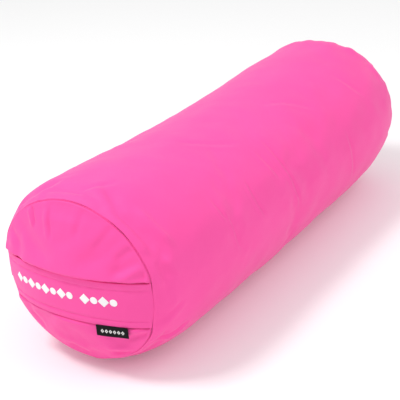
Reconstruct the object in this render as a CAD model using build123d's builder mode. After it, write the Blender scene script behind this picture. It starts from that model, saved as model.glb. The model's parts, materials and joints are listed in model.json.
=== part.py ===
from build123d import *
from math import cos, radians, sin
import os

# Round bolster: a zipped cotton cover with a carrying handle across its front end, over a
# filled liner bag. X is across, Y runs along the bolster with the handle end towards -Y,
# Z is up. The origin is the middle of the underside. All lengths are in millimetres.

# ---- driving dimensions ----
length = 648
nominal_radius = 114
width_ratio = 1.039  # the filling lets the round section settle wider than it is high
height_ratio = 0.961
flat_depth = 4  # how far the floor presses the underside flat
top_sag = 19  # how far the top has sunk halfway between the end seams

seam_radius = 96.4
front_dome = 24.5  # bulge of each end in front of its seam
rear_dome = 37
front_shoulder = 84  # length over which the body swells from the seam to full size
rear_shoulder = 101
dome_lean = radians(31)  # how far each end panel leans back where it meets the seam
front_lean = radians(26)  # how far the body opens out where it leaves each seam
rear_lean = radians(18)
shoulder_sections = (0, 0.1, 0.25, 0.5, 0.75, 0.9, 1)  # shares of a shoulder where its section is drawn
middle_sections = (0.04, 0.2, 0.4, 0.6, 0.8, 0.96)  # the same for the straight middle

cover_cloth = 0.9
liner_cloth = 0.6
fit_gap = 0.3  # between curved pieces on different bodies
lay_gap = 0.05  # between layers that lie on each other

handle_top = 18  # edges of the handle, measured from the bolster's axis
handle_bottom = -34.5
handle_thickness = 2
hem_width = 8
row_margin = 6  # from the end seam to the handle's first and last stitch
print_film = 0.2
print_shapes = 12
print_height = 12.6
print_dot_radius = 4.1
print_pitch = 11
print_space_after = 8  # shapes before the one wider space
print_space = 8
print_centre_z = -4.5
print_first_x = -71
print_reach = 5  # how far past the front panel the shapes are cut

label_width = 36
label_height = 11.5
label_thickness = 0.6
label_centre_x = 51
label_drop = 0.5  # gap between the handle's edge and the label
label_sight = 0.1  # above the handle's lower edge, where the label's place is measured

stitch_length = 3
stitch_gap = 0.9
stitch_width = 0.5
stitch_height = 0.3
stitch_pitch = stitch_length + stitch_gap
stitch_clearance = 0.02  # under a thread, so that it lies on the cloth
stitch_lift = stitch_height / 2 + stitch_clearance  # a thread's middle above the cloth it lies on
allowance_width = 10
allowance_setback = 1.5  # from the seam to where the turned edges lie flat
seam_row = 4  # from the seam to its row of stitches

zip_angle = radians(-10)  # the zip lies this far below the middle of the cover's -X side
zip_centre_y = -15
zip_length = 370  # between the stops
zip_opening = 11
zip_opening_end = 4  # opening beyond each stop
chain_pitch = 3
tooth_length = 1.2
tooth_reach = 4
tooth_overlap = 1.2  # how far a tooth reaches past the middle of the chain
tooth_height = 1.6
tape_width = 14
tape_thickness = 0.6
tape_gap = 1.2  # between the two tapes, where the slider's neck passes
tape_end = 15  # tape beyond each stop
zip_stitch_margin = 3  # from the opening's edge to the row of stitches
top_stop_length = 2
top_stop_width = 2.4
top_stop_spacing = 4  # between the middles of the two stops, one on each tape
top_stop_corner = 0.4
bottom_stop_length = 3.5
bottom_stop_width = 6
bottom_stop_corner = 0.6
bottom_stop_round = 0.5
stop_setback = 1.5  # from the end of the zip to the middle of a stop

slider_length = 11
slider_width = 9.4
plate_thickness = 1.1
flange_thickness = 0.8
neck_width = 0.8
neck_length = 1.6
bridge_thickness = 0.8
bridge_width = 1.6
bridge_half_span = 2.6
bridge_height = 2.6
bridge_round = 0.6
slider_corner = 2
flange_shortening = 4  # the turned-down sides are this much shorter than the plates
flange_clearance = 0.2  # between a turned-down side and the tape

pull_length = 24
pull_width = 5
pull_thickness = 1.3
pull_eye_length = 4.6
pull_eye_width = 2.4
pull_bar = 1
pull_corner = 1.2
pull_edge = 0.25
pivot_offset = 1  # the pull's pivot, behind the middle of the bridge
pivot_rise = 0.9  # above the slider's front plate

liner_inset = 4.2
liner_seam_setback = 3
closing_stitches = 14
closing_pitch = 9
closing_length = 6
closing_width = 0.75
closing_slant = 30

# ---- places worked out from them ----
half_width = nominal_radius * width_ratio
half_height = nominal_radius * height_ratio
axis_height = half_height - flat_depth
axis_centre = (0, 0, axis_height)
whole = (4 * nominal_radius, 2 * length, 4 * nominal_radius)  # a box larger than the bolster
bolster_axis = Axis(axis_centre, (0, 1, 0))

front_tip = -length / 2 + print_film + handle_thickness + fit_gap
front_seam = -length / 2 + front_dome
rear_tip = length / 2
rear_seam = rear_tip - rear_dome

allowance_outer = cover_cloth + lay_gap
allowance_inner = allowance_outer + 2 * cover_cloth
liner_inner = liner_inset + liner_cloth
filling_inset = liner_inner + lay_gap

# the zip's plane touches the cover at the middle of the opening: x runs to the front, y up
# the cover's side and z out of it
zip_origin = Vector(-half_width * cos(zip_angle), zip_centre_y, axis_height + half_height * sin(zip_angle))
zip_normal = Vector(-cos(zip_angle) / half_width, 0, sin(zip_angle) / half_height).normalized()
zip_plane = Plane(origin=zip_origin, x_dir=(0, -1, 0), z_dir=zip_normal)

tape_outer = cover_cloth + lay_gap
tape_inner = tape_outer + tape_thickness
tooth_base = -tape_outer
tooth_top = tooth_base + tooth_height
chain_front = zip_length / 2 - slider_length / 2 - neck_length
chain_rear = -zip_length / 2
slider_x = zip_length / 2 - slider_length / 2
plate_base = tooth_top + fit_gap
plate_top = plate_base + plate_thickness
back_plate_top = -tape_inner - fit_gap
pivot_height = plate_top + pivot_rise

os.makedirs("parts", exist_ok=True)


def seam_corner(inset, lean):
    """Radius of a seam's corner and its distance from the seam's plane, this far inside the cover.

    The corner moves along the bisector of the end panel and the body, which opens out by lean.
    """
    spread = 1 + sin(dome_lean + lean)
    radius = seam_radius - inset * (sin(dome_lean) + cos(lean)) / spread
    setback = inset * (cos(dome_lean) + sin(lean)) / spread
    return radius, setback


def end_dome(pole_y, corner_radius, corner_y):
    """The domed end of the bolster, from its pole to the plane of its seam."""
    outward = 1 if pole_y > corner_y else -1
    pole = (0, pole_y)
    corner = (corner_radius, corner_y)
    base = (0, corner_y)
    with BuildPart() as dome:
        with BuildSketch(Plane.XY.offset(axis_height)):
            with BuildLine():
                Spline(pole, corner, tangents=((1, 0), (cos(dome_lean), -outward * sin(dome_lean))))
                Line(corner, base)
                Line(base, pole)
            make_face()
        revolve(axis=bolster_axis)
        scale(by=(width_ratio, 1, height_ratio), about=axis_centre)
    return dome.part


def bolster_form(inset):
    """The whole stuffed bolster as one solid, its surface this far inside the cover's outer face."""
    full = nominal_radius - inset
    front_radius, front_setback = seam_corner(inset, front_lean)
    rear_radius, rear_setback = seam_corner(inset, rear_lean)
    front_corner = (front_radius, front_seam + front_setback)
    rear_corner = (rear_radius, rear_seam - rear_setback)
    front_full = (full, front_seam + front_shoulder)
    rear_full = (full, rear_seam - rear_shoulder)
    with BuildLine():
        front = Spline(front_corner, front_full, tangents=((sin(front_lean), cos(front_lean)), (0, 1)))
        middle = Line(front_full, rear_full)
        rear = Spline(rear_full, rear_corner, tangents=((0, 1), (-sin(rear_lean), cos(rear_lean))))
    profile = [front @ share for share in shoulder_sections]
    profile += [middle @ share for share in middle_sections]
    profile += [rear @ (1 - share) for share in reversed(shoulder_sections)]
    with BuildPart() as form:
        for point in profile:
            along = (point.Y - front_corner[1]) / (rear_corner[1] - front_corner[1])
            side = point.X * width_ratio
            bottom = point.X * height_ratio
            top = bottom * (1 - 4 * along * (1 - along) * top_sag / half_height)
            with BuildSketch(Plane.XZ.offset(-point.Y)):
                with BuildLine():
                    EllipticalCenterArc((0, axis_height), side, top, arc_size=180)
                    EllipticalCenterArc((0, axis_height), side, bottom, start_angle=180, arc_size=180)
                make_face()
        loft()
        add(end_dome(front_tip + inset, *front_corner))
        add(end_dome(rear_tip - inset, *rear_corner))
        with Locations((0, 0, inset)):
            Box(*whole, align=(Align.CENTER, Align.CENTER, Align.MIN), mode=Mode.INTERSECT)
    return form.part


def layer(outer_inset, inner_inset, y_from, y_to):
    """A layer of cloth between two depths, from one place along the bolster to another."""
    with BuildPart() as cloth:
        add(bolster_form(outer_inset))
        add(bolster_form(inner_inset), mode=Mode.SUBTRACT)
        with Locations((0, (y_from + y_to) / 2, axis_height)):
            Box(whole[0], y_to - y_from, whole[2], mode=Mode.INTERSECT)
    return cloth.part


def place_on(face, x, z, lift=0):
    """The place this far off a front face at this x and height: x runs across it, z out of it."""
    hits = face.find_intersection_points(Axis((x, -length, axis_height + z), (0, 1, 0)))
    point, normal = min(hits, key=lambda hit: hit[0].Y)
    outward = normal if normal.Y < 0 else -normal
    return Plane(origin=point + lift * outward, x_dir=Vector(0, 0, 1).cross(outward), z_dir=outward)


# ---- cover ----
with BuildPart() as body_panel:
    add(layer(0, cover_cloth, front_seam, rear_seam))
    with BuildSketch(zip_plane.offset(-tape_width / 2)):
        Rectangle(zip_length + 2 * zip_opening_end, zip_opening)
    extrude(amount=tape_width, mode=Mode.SUBTRACT)
body_panel.part.label = "body_panel"
export_step(body_panel.part, "parts/body_panel.step")

with BuildPart() as front_end_panel:
    add(layer(0, cover_cloth, -length, front_seam))
front_end_panel.part.label = "front_end_panel"
export_step(front_end_panel.part, "parts/front_end_panel.step")

with BuildPart() as rear_end_panel:
    add(layer(0, cover_cloth, rear_seam, length))
rear_end_panel.part.label = "rear_end_panel"
export_step(rear_end_panel.part, "parts/rear_end_panel.step")

# the edges of the end panel and the body panel, turned in and lying together along the body
with BuildPart() as front_seam_allowance:
    add(layer(allowance_outer, allowance_inner, front_seam + allowance_setback, front_seam + allowance_width))
front_seam_allowance.part.label = "front_seam_allowance"
export_step(front_seam_allowance.part, "parts/front_seam_allowance.step")

with BuildPart() as rear_seam_allowance:
    add(layer(allowance_outer, allowance_inner, rear_seam - allowance_width, rear_seam - allowance_setback))
rear_seam_allowance.part.label = "rear_seam_allowance"
export_step(rear_seam_allowance.part, "parts/rear_seam_allowance.step")

# ---- end seams: the row of lockstitch through each allowance ----
stitch_inner = allowance_inner + stitch_height

with BuildPart() as front_seam_stitching:
    add(layer(allowance_inner, stitch_inner, front_seam + seam_row, front_seam + seam_row + stitch_width))
front_seam_stitching.part.label = "front_seam_stitching"
export_step(front_seam_stitching.part, "parts/front_seam_stitching.step")

with BuildPart() as rear_seam_stitching:
    add(layer(allowance_inner, stitch_inner, rear_seam - seam_row - stitch_width, rear_seam - seam_row))
rear_seam_stitching.part.label = "rear_seam_stitching"
export_step(rear_seam_stitching.part, "parts/rear_seam_stitching.step")


# ---- zip in the cover's lengthwise seam ----
def zip_tape(side):
    """One tape, curved like the cover that it lies under; side is 1 above the chain, -1 below."""
    reach = zip_length / 2 + tape_end
    with BuildPart() as tape:
        add(layer(tape_outer, tape_inner, zip_centre_y - reach, zip_centre_y + reach))
        with BuildSketch(zip_plane.offset(-tape_width / 2)):
            with Locations((0, side * (tape_gap + tape_width) / 2)):
                Rectangle(whole[1], tape_width)
        extrude(amount=tape_width, mode=Mode.INTERSECT)
    return tape.part


with BuildPart() as zip_tape_upper:
    add(zip_tape(1))
zip_tape_upper.part.label = "zip_tape_upper"
export_step(zip_tape_upper.part, "parts/zip_tape_upper.step")

with BuildPart() as zip_tape_lower:
    add(zip_tape(-1))
zip_tape_lower.part.label = "zip_tape_lower"
export_step(zip_tape_lower.part, "parts/zip_tape_lower.step")

tooth_count = int((chain_front - chain_rear - chain_pitch) / chain_pitch)
tooth_middle = tooth_reach / 2 - tooth_overlap
upper_tooth_start = 0.75  # pitches from the end of the zip to the first tooth
lower_tooth_start = upper_tooth_start + 0.5

with BuildPart() as zip_teeth_upper:
    with BuildSketch(zip_plane.offset(tooth_base)):
        for index in range(tooth_count):
            with Locations((chain_rear + (index + upper_tooth_start) * chain_pitch, tooth_middle)):
                Rectangle(tooth_length, tooth_reach)
    extrude(amount=tooth_height)
zip_teeth_upper.part.label = "zip_teeth_upper"
export_step(zip_teeth_upper.part, "parts/zip_teeth_upper.step")

with BuildPart() as zip_teeth_lower:
    with BuildSketch(zip_plane.offset(tooth_base)):
        for index in range(tooth_count):
            with Locations((chain_rear + (index + lower_tooth_start) * chain_pitch, -tooth_middle)):
                Rectangle(tooth_length, tooth_reach)
    extrude(amount=tooth_height)
zip_teeth_lower.part.label = "zip_teeth_lower"
export_step(zip_teeth_lower.part, "parts/zip_teeth_lower.step")

with BuildPart() as zip_top_stops:
    with BuildSketch(zip_plane.offset(tooth_base)):
        with GridLocations(0, top_stop_spacing, 1, 2):
            with Locations((zip_length / 2 + stop_setback, 0)):
                RectangleRounded(top_stop_length, top_stop_width, top_stop_corner)
    extrude(amount=tooth_height)
zip_top_stops.part.label = "zip_top_stops"
export_step(zip_top_stops.part, "parts/zip_top_stops.step")

with BuildPart() as zip_bottom_stop:
    with BuildSketch(zip_plane.offset(tooth_base)):
        with Locations((chain_rear - stop_setback, 0)):
            RectangleRounded(bottom_stop_length, bottom_stop_width, bottom_stop_corner)
    extrude(amount=tooth_height)
    outer_face = zip_bottom_stop.faces().sort_by(Axis(zip_plane.origin, zip_plane.z_dir))[-1]
    fillet(outer_face.edges(), bottom_stop_round)
zip_bottom_stop.part.label = "zip_bottom_stop"
export_step(zip_bottom_stop.part, "parts/zip_bottom_stop.step")

# a row of topstitching along each side of the opening, through cover and tape
zip_stitch_offset = zip_opening / 2 + zip_stitch_margin
zip_stitch_count = int((zip_length + 2 * zip_stitch_offset) / stitch_pitch)
nearest_thread = zip_stitch_offset - stitch_width / 2
cover_fall = nearest_thread**2 / (2 * nominal_radius)  # how far the cover has curved away there

with BuildPart() as zip_stitching:
    with BuildSketch(zip_plane.offset(stitch_clearance - cover_fall)):
        with GridLocations(stitch_pitch, 2 * zip_stitch_offset, zip_stitch_count, 2):
            Rectangle(stitch_length, stitch_width)
    extrude(amount=stitch_height)
zip_stitching.part.label = "zip_stitching"
export_step(zip_stitching.part, "parts/zip_stitching.step")

# ---- slider: a front plate with turned-down sides, a back plate, the neck that joins them and
# the bridge that holds the pull ----
bridge_foot = zip_plane.from_local_coords(Vector(slider_x, 0, plate_top))
bridge_plane = Plane(origin=bridge_foot, x_dir=zip_plane.x_dir, z_dir=-zip_plane.y_dir)

with BuildPart() as zip_slider:
    with BuildSketch(zip_plane.offset(plate_base)):
        with Locations((slider_x, 0)):
            RectangleRounded(slider_length, slider_width, slider_corner)
    extrude(amount=plate_thickness)
    with BuildSketch(zip_plane.offset(tooth_base + flange_clearance)):
        with Locations((slider_x, 0)):
            with GridLocations(0, slider_width - flange_thickness, 1, 2):
                Rectangle(slider_length - flange_shortening, flange_thickness)
    extrude(amount=plate_base - tooth_base)
    with BuildSketch(zip_plane.offset(back_plate_top - plate_thickness)):
        with Locations((slider_x, 0)):
            RectangleRounded(slider_length, slider_width, slider_corner)
    extrude(amount=plate_thickness)
    with BuildSketch(zip_plane.offset(back_plate_top - plate_thickness / 2)):
        with Locations((slider_x + slider_length / 2 - neck_length, 0)):
            Rectangle(neck_length, neck_width)
    extrude(amount=plate_base - back_plate_top + plate_thickness)
    with BuildSketch(bridge_plane) as bridge_side:
        with Locations((0, bridge_height / 2)):
            Rectangle(2 * bridge_half_span, bridge_height)
        with Locations((0, (bridge_height - bridge_thickness) / 2)):
            Rectangle(
                2 * (bridge_half_span - bridge_thickness),
                bridge_height - bridge_thickness,
                mode=Mode.SUBTRACT,
            )
        fillet(bridge_side.vertices().group_by(Axis(zip_plane.origin, zip_plane.z_dir))[-1], bridge_round)
    extrude(amount=bridge_width / 2, both=True)
zip_slider.part.label = "zip_slider"
export_step(zip_slider.part, "parts/zip_slider.step")

# ---- pull: it lies back over the closed chain, and its eye turns on the slider's bridge ----
pull_plane = zip_plane.offset(pivot_height)
pivot_x = slider_x - pivot_offset

with BuildPart() as zip_pull:
    with BuildSketch(pull_plane.offset(-pull_thickness / 2)) as pull_outline:
        with Locations((pivot_x + pull_bar / 2 - pull_length / 2, 0)):
            RectangleRounded(pull_length, pull_width, pull_corner)
        with Locations((pivot_x - pull_bar / 2 - pull_eye_length / 2, 0)):
            Rectangle(pull_eye_length, pull_eye_width, mode=Mode.SUBTRACT)
    extrude(amount=pull_thickness)
    chamfer(zip_pull.edges().group_by(Axis(pull_plane.origin, pull_plane.z_dir))[-1], pull_edge)
zip_pull.part.label = "zip_pull"
export_step(zip_pull.part, "parts/zip_pull.step")

# ---- handle: a flat band across the front end, caught in the seam at both sides ----
handle_inside = -fit_gap
handle_outside = handle_inside - handle_thickness
handle_width = handle_top - handle_bottom
handle_middle = (handle_top + handle_bottom) / 2

with BuildPart() as handle_strap:
    add(layer(handle_outside, handle_inside, -length, front_seam - fit_gap))
    with Locations((0, 0, axis_height + handle_middle)):
        Box(whole[0], whole[1], handle_width, mode=Mode.INTERSECT)
handle_strap.part.label = "handle_strap"
export_step(handle_strap.part, "parts/handle_strap.step")

handle_face = handle_strap.faces().sort_by(Axis.Y)[0]
row_reach = seam_radius - row_margin
row_count = int(2 * row_reach / stitch_pitch)
handle_rows = [
    place_on(handle_face, (index - (row_count - 1) / 2) * stitch_pitch, height, stitch_lift)
    for height in (handle_top - hem_width, handle_bottom + hem_width)
    for index in range(row_count)
]

with BuildPart() as handle_stitching:
    with Locations(*handle_rows):
        Box(stitch_length, stitch_width, stitch_height)
handle_stitching.part.label = "handle_stitching"
export_step(handle_stitching.part, "parts/handle_stitching.step")

# a row of plain lozenges and dots, with one space in it, printed in white
with BuildPart() as handle_print:
    add(layer(handle_outside - print_film, handle_outside, -length, front_seam - fit_gap))
    with BuildSketch(Plane.XZ.offset(length / 2 - front_dome)) as shapes:
        for index in range(print_shapes):
            space = print_space if index >= print_space_after else 0
            with Locations((print_first_x + index * print_pitch + space, axis_height + print_centre_z)):
                if index % 2:
                    Circle(print_dot_radius)
                else:
                    RegularPolygon(print_height / 2, 4)
    extrude(amount=front_dome + print_reach, mode=Mode.INTERSECT)
handle_print.part.label = "handle_print"
export_step(handle_print.part, "parts/handle_print.step")

# ---- label: a flat woven tab that hangs from the handle's lower edge ----
label_line = handle_bottom + label_sight
label_left = place_on(handle_face, label_centre_x - label_width / 2, label_line).origin
label_right = place_on(handle_face, label_centre_x + label_width / 2, label_line).origin
label_across = Vector(label_right.X - label_left.X, label_right.Y - label_left.Y, 0).normalized()
label_top = (label_left + label_right) / 2
label_hinge = Vector(label_top.X, label_top.Y, axis_height + handle_bottom - label_drop)
label_plane = Plane(
    origin=label_hinge,
    x_dir=label_across,
    z_dir=label_across.cross(Vector(0, 0, 1)),
)

with BuildPart() as woven_label:
    with BuildSketch(label_plane.offset(-label_thickness)):
        Rectangle(label_width, label_height, align=(Align.CENTER, Align.MAX))
    extrude(amount=label_thickness)
woven_label.part.label = "woven_label"
export_step(woven_label.part, "parts/woven_label.step")

# ---- liner bag and its filling ----
liner_front = front_seam + liner_seam_setback
liner_rear = rear_seam - liner_seam_setback

with BuildPart() as liner_tube:
    add(layer(liner_inset, liner_inner, liner_front, liner_rear))
liner_tube.part.label = "liner_tube"
export_step(liner_tube.part, "parts/liner_tube.step")

with BuildPart() as liner_front_disc:
    add(layer(liner_inset, liner_inner, -length, liner_front))
liner_front_disc.part.label = "liner_front_disc"
export_step(liner_front_disc.part, "parts/liner_front_disc.step")

with BuildPart() as liner_rear_disc:
    add(layer(liner_inset, liner_inner, liner_rear, length))
liner_rear_disc.part.label = "liner_rear_disc"
export_step(liner_rear_disc.part, "parts/liner_rear_disc.step")

# the filling opening of the liner, sewn shut by hand along its flat underside
with BuildPart() as liner_closing_stitches:
    with BuildSketch(Plane.XY.offset(liner_inset - lay_gap)):
        with GridLocations(0, closing_pitch, 1, closing_stitches):
            Rectangle(closing_length, closing_width, rotation=closing_slant)
    extrude(amount=-stitch_height)
liner_closing_stitches.part.label = "liner_closing_stitches"
export_step(liner_closing_stitches.part, "parts/liner_closing_stitches.step")

with BuildPart() as filling_core:
    add(bolster_form(filling_inset))
filling_core.part.label = "filling_core"
export_step(filling_core.part, "parts/filling_core.step")

print("zip slide axis", -zip_plane.x_dir)
print("pull pivot", zip_plane.from_local_coords(Vector(pivot_x, 0, pivot_height)), "axis", zip_plane.y_dir)
print("label hinge", label_hinge, "axis", -label_across)
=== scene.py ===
import json
import math
import bmesh
import bpy
import numpy as np
from mathutils import Matrix, Vector
from mathutils.bvhtree import BVHTree


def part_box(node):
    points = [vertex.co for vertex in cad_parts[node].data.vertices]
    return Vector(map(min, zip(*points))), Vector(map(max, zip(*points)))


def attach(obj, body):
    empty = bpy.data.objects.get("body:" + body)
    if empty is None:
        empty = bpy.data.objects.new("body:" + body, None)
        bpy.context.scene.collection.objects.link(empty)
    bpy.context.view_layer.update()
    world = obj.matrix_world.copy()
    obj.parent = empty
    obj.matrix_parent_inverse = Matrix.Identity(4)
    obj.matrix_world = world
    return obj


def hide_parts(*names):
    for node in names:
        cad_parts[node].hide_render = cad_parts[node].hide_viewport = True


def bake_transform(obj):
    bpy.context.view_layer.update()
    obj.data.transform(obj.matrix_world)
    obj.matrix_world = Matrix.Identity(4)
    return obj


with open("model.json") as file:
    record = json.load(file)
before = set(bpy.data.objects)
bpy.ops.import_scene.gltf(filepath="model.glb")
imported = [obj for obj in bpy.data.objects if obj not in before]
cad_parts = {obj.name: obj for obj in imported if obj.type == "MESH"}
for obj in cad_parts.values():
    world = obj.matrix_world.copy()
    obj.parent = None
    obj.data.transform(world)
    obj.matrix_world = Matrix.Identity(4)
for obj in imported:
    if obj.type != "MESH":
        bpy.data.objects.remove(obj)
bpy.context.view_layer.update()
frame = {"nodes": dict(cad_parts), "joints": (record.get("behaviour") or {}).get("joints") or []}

# A round bolster in a zipped cotton cover, lying on a pale floor. Metres, in the CAD frame:
# X across, Y along the bolster with the handle end towards -Y, Z up.

MM = 0.001

# ---- sizes read from the frame ----
body_low, body_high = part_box("body_panel")
front_low, front_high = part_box("front_end_panel")
rear_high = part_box("rear_end_panel")[1]
strap_low, strap_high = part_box("handle_strap")
tape_low, tape_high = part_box("zip_tape_upper")
joints = {joint["name"]: joint for joint in frame["joints"]}

CENTRE_Z = (front_low.z + front_high.z) / 2
HALF_WIDTH = body_high.x
SEAM_WIDTH = front_high.x
SEAM_HEIGHT = front_high.z - CENTRE_Z
HALF_HEIGHT = HALF_WIDTH * SEAM_HEIGHT / SEAM_WIDTH
RADIUS = (HALF_WIDTH + HALF_HEIGHT) / 2
FRONT_SEAM = body_low.y
REAR_SEAM = body_high.y
TIP_PROUD = 0.7 * MM  # the front panel's crown stands this far out of its CAD node
FRONT_TIP = front_low.y - TIP_PROUD
REAR_TIP = rear_high.y
STRAP_TOP = strap_high.z
STRAP_BOTTOM = strap_low.z

# ---- how the stuffed cover is shaped ----
FRONT_SHOULDER = 132 * MM  # length over which the body swells from its seam to full size
REAR_SHOULDER = 180 * MM
SHOULDER_POWER = 3.8
TOP_SAG = 19 * MM  # how far the top has sunk halfway between the end seams
DOME_POWER = 2.28
CLOTH = 0.8 * MM  # thickness
DEEPEST = 3 * MM  # how far a fold may sink below the base shape

# ---- the zip's opening in the cover ----
ZIP_ANGLE = math.radians(190)
ZIP_HALF_OPENING = 5.5 * MM
TAPE_PAST_OPENING = 11 * MM
ZIP_STITCH_OFFSET = 8.5 * MM
OPENING_FRONT = tape_low.y + TAPE_PAST_OPENING
OPENING_REAR = tape_high.y - TAPE_PAST_OPENING

# ---- handle ----
STRAP_THICKNESS = 1.9 * MM
STRAP_OUT = 0.9 * MM  # its outer face, in front of the end panel's base shape
HEM = 8 * MM
STITCH_PITCH = 3.9 * MM
END_SHARE = 0.05  # the last share of its half length, where its face comes down to the seam
END_PROUD = 0.3 * MM  # and where its edge comes to stand this far out of the end panel
COARSE_END = 0.9802  # share of its half length where its evenly spaced rows end
LAST_SHARE = 0.011  # the last share, where its rows crowd towards the seam,
LAST_ROWS = 10  # and their number
EDGE_POINTS = 8  # round each long edge
HEM_PROUD = 0.3 * MM  # the turned-in hem stands out this much, after a step this wide
HEM_STEP = 2 * MM
ROW_DEPTH = 0.95 * MM  # a row of topstitching draws the cloth in this deep and this wide,
ROW_WIDTH = 0.9 * MM
PUCKER = 0.4  # with its depth varying by this share, over these lengths
PUCKER_LENGTHS = (3.1 * MM, 7.7 * MM)
PUCKER_SHIFT = 1.3
# each wave in the handle's face: its height, and its lengths across and up
HANDLE_WAVES = ((0.25 * MM, 23 * MM, 31 * MM), (0.12 * MM, 9 * MM, -13 * MM))
ROW_START = STITCH_PITCH / 8  # the topstitching starts this far from the handle's middle
ROW_STOP = 4 * MM  # and ends this far from the seam

rng = np.random.default_rng(7)


def smooth_step(value):
    """0 below 0, 1 above 1 and a smooth rise between."""
    t = np.clip(value, 0, 1)
    return t * t * (3 - 2 * t)


def wrapped(offset, whole):
    """An offset round a closed line of this whole length, taken the shorter way."""
    return (offset + whole / 2) % whole - whole / 2


def limited(depth):
    """A depth inwards, eased so that the cover never sinks onto the liner under it."""
    return np.where(depth > 0, DEEPEST * np.tanh(depth / DEEPEST), depth)


# ---- base shape ----
def swell(y):
    """The section's size at this place along the body, as a share of the full section."""
    seam = SEAM_WIDTH / HALF_WIDTH
    front = 1 - (1 - np.clip((y - FRONT_SEAM) / FRONT_SHOULDER, 0, 1)) ** SHOULDER_POWER
    rear = 1 - (1 - np.clip((REAR_SEAM - y) / REAR_SHOULDER, 0, 1)) ** SHOULDER_POWER
    return seam + (1 - seam) * np.minimum(front, rear)


def body_points(angle, y):
    """Points of the body's base shape at these angles round it and places along it."""
    size = swell(y)
    along = (y - FRONT_SEAM) / (REAR_SEAM - FRONT_SEAM)
    sag = 4 * along * (1 - along) * TOP_SAG / HALF_HEIGHT
    x = HALF_WIDTH * size * np.cos(angle)
    rise = HALF_HEIGHT * size * np.sin(angle)
    z = CENTRE_Z + np.where(rise > 0, rise * (1 - sag), rise)
    return np.stack([x, y + 0 * x, z], axis=-1)


def dome(x, z, tip, seam):
    """How far along Y an end panel's base shape lies at this x and z."""
    radius = np.hypot(x / SEAM_WIDTH, (z - CENTRE_Z) / SEAM_HEIGHT)
    return tip + (seam - tip) * radius**DOME_POWER


def square_to_disc(u, v):
    """Maps the square from -1 to 1 onto the unit disc."""
    return u * np.sqrt(1 - v * v / 2), v * np.sqrt(1 - u * u / 2)


def disc_lattice(cells):
    """The unit disc as a lattice of cells by cells, and the lattice places round its rim."""
    side = np.linspace(-1, 1, cells + 1)
    u, v = np.meshgrid(side, side, indexing="ij")
    across, up = square_to_disc(u, v)
    rim = [(cells, k) for k in range(cells)]
    rim += [(cells - k, cells) for k in range(cells)]
    rim += [(0, cells - k) for k in range(cells)]
    rim += [(k, 0) for k in range(cells)]
    return across, up, rim


def spaced(start, end, fine, coarse, reach):
    """Places from start to end, fine apart at both ends and coarse apart further than reach from them."""
    places = [start]
    while places[-1] < end:
        edge = min(places[-1] - start, end - places[-1])
        step = fine + (coarse - fine) * float(smooth_step(edge / reach))
        places.append(places[-1] + step)
    places = np.array(places)
    return start + (places - start) * (end - start) / (places[-1] - start)


# ---- mesh helpers ----
def make_object(name, points, faces, uvs=None):
    """A smooth mesh object; uvs is one pair in metres for each vertex."""
    mesh = bpy.data.meshes.new(name)
    mesh.from_pydata([tuple(p) for p in points], [], faces)
    mesh.update()
    mesh.shade_smooth()
    if uvs is not None:
        layer = mesh.uv_layers.new(name="cloth")
        corners = np.zeros(len(mesh.loops), int)
        mesh.loops.foreach_get("vertex_index", corners)
        layer.data.foreach_set("uv", np.asarray(uvs, np.float32)[corners].ravel())
    piece = bpy.data.objects.new(name, mesh)
    bpy.context.scene.collection.objects.link(piece)
    return piece


def grid_faces(rows, columns, closed=False, keep=lambda row, column: True):
    """Quads over points stored row by row; closed joins the last column to the first."""
    faces = []
    for row in range(rows - 1):
        for column in range(columns if closed else columns - 1):
            if keep(row, column):
                beside = (column + 1) % columns
                faces.append((row * columns + column, (row + 1) * columns + column,
                              (row + 1) * columns + beside, row * columns + beside))
    return faces


def apply_modifiers(piece):
    """Replaces a piece's mesh by what its modifiers make of it."""
    graph = bpy.context.evaluated_depsgraph_get()
    made = bpy.data.meshes.new_from_object(piece.evaluated_get(graph))
    piece.modifiers.clear()
    piece.data = made


def add_thickness(piece, thickness):
    """Gives a cloth surface its thickness, on the inner side."""
    solidify = piece.modifiers.new("thickness", "SOLIDIFY")
    solidify.thickness = thickness
    solidify.offset = -1
    apply_modifiers(piece)


def tidy_mesh(piece, outwards=True):
    """Removes points that no face uses and, for a closed piece, turns its faces outwards."""
    work = bmesh.new()
    work.from_mesh(piece.data)
    unused = [point for point in work.verts if not point.link_faces]
    bmesh.ops.delete(work, geom=unused, context="VERTS")
    if outwards:
        bmesh.ops.recalc_face_normals(work, faces=work.faces)
    work.to_mesh(piece.data)
    work.free()


def join_meshes(name, pieces):
    """One mesh from a list of (points, faces, uvs)."""
    points, faces, uvs = [], [], []
    for part_points, part_faces, part_uvs in pieces:
        first = len(points)
        points += [tuple(p) for p in part_points]
        faces += [tuple(first + k for k in face) for face in part_faces]
        uvs += [tuple(pair) for pair in part_uvs]
    return make_object(name, points, faces, uvs)


# ---- cloth simulation of the whole closed cover, for its natural unevenness ----
CELLS = 28
SIM_RINGS = 96
RING_CROWDING = 0.055  # how much the rings crowd towards the seams
SIM_FRAMES = 20
WRINKLE_CAP = 5 * MM
CLOTH_SETTINGS = {
    "quality": 6, "mass": 0.3, "tension_stiffness": 25, "compression_stiffness": 25,
    "shear_stiffness": 8, "bending_stiffness": 0.3, "vertex_group_mass": "seams",
    "use_pressure": True, "uniform_pressure_force": 4,
    "shrink_min": -0.028,  # extra cloth, as a share, that the filling doesn't take up
}
SMOOTHING = 40  # passes that take the swelling out and leave the wrinkles
RAY_START = 50 * MM  # rays towards the wrinkled surface start this far outside the base shape


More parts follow.
